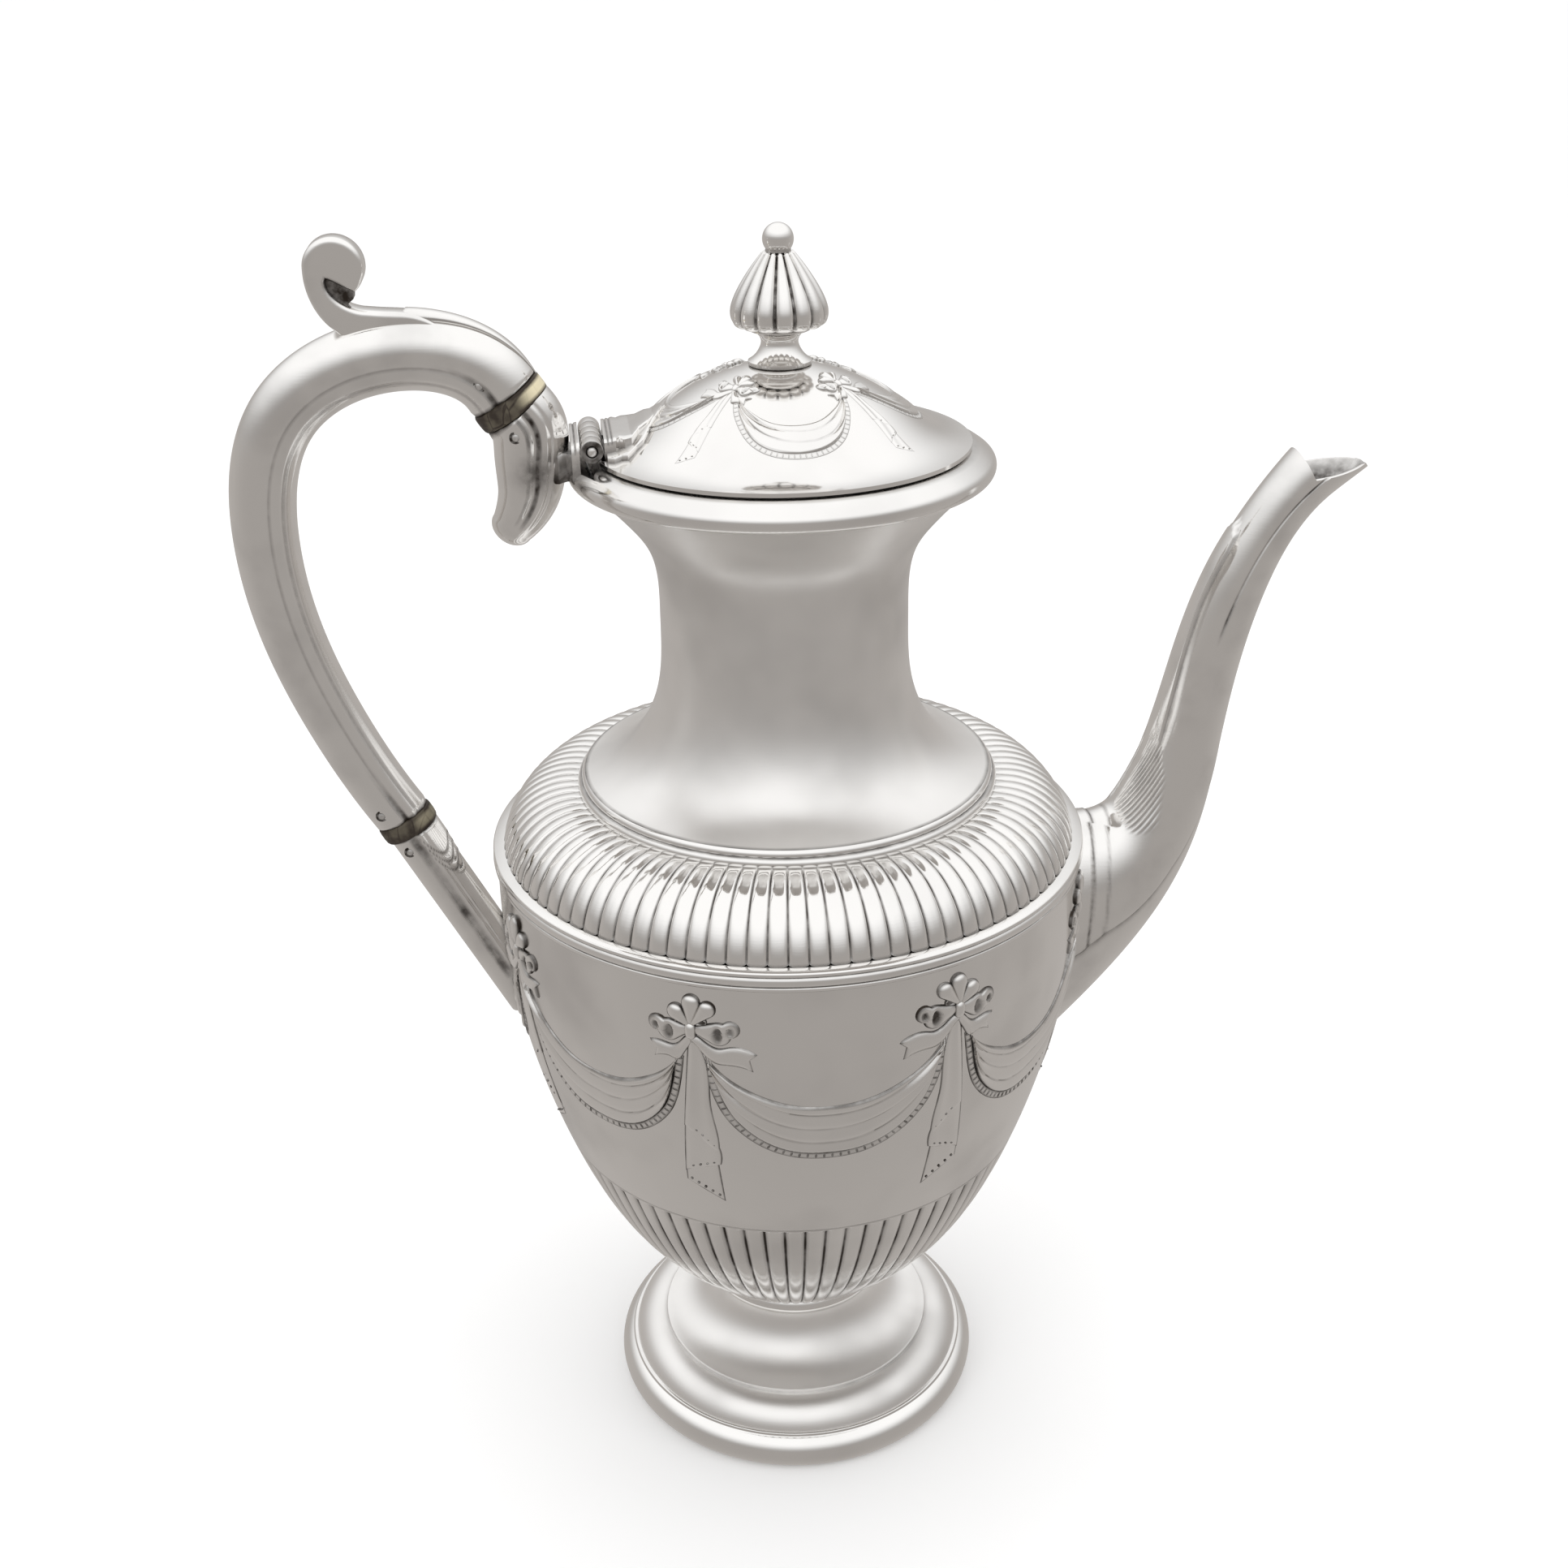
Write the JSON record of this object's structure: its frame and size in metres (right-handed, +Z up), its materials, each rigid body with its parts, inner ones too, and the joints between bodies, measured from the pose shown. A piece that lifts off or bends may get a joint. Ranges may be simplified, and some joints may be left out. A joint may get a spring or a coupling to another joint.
{
  "type": "coffee pot",
  "caption": "Urn-shaped silver coffee pot on a round foot, with fluting, drapery swags, a hinged domed lid, a swan-neck spout and an insulated scroll handle.",
  "frame": {"origin": "centre of the flat ring that the foot stands on", "axes": "+Z up along the axis that the body is turned about, +X towards the spout, -X towards the handle"},
  "size_m": [0.2184, 0.1206, 0.2583],
  "materials": {
    "raised_silver": "polished silver sheet with dark oxidised grooves",
    "cast_silver": "polished cast silver with dark oxidised recesses",
    "silver_pins": "worn silver pins and studs",
    "bone": "aged cream bone with brown cracks"
  },
  "bodies": {
    "pot": {"foot_rim": "raised_silver", "foot": "raised_silver", "knop": "raised_silver", "bowl": "raised_silver", "girdle": "raised_silver", "shoulder": "raised_silver", "neck_collar": "raised_silver", "neck": "raised_silver", "mouth_rim": "raised_silver", "hinge_body_leaf": "cast_silver", "hinge_pin": "silver_pins", "upper_socket": "cast_silver", "upper_insulator": "bone", "handle_grip": "cast_silver", "thumb_scroll": "cast_silver", "lower_insulator": "bone", "lower_socket": "cast_silver", "insulator_pegs": "silver_pins", "spout": "cast_silver"},
    "lid": {"lid_dome": "raised_silver", "lid_bezel": "raised_silver", "finial_stem": "cast_silver", "finial_cap": "cast_silver", "finial_ball": "cast_silver", "finial_stud": "silver_pins", "finial_nut": "silver_pins", "hinge_lid_leaf": "cast_silver"}
  },
  "joints": [
    {"name": "lid_hinge", "type": "hinge", "parent": "pot", "child": "lid", "pos_m": [-0.0356, 0, 0.2201], "axis": [0, -1, 0], "range_deg": [0, 84]}
  ]
}
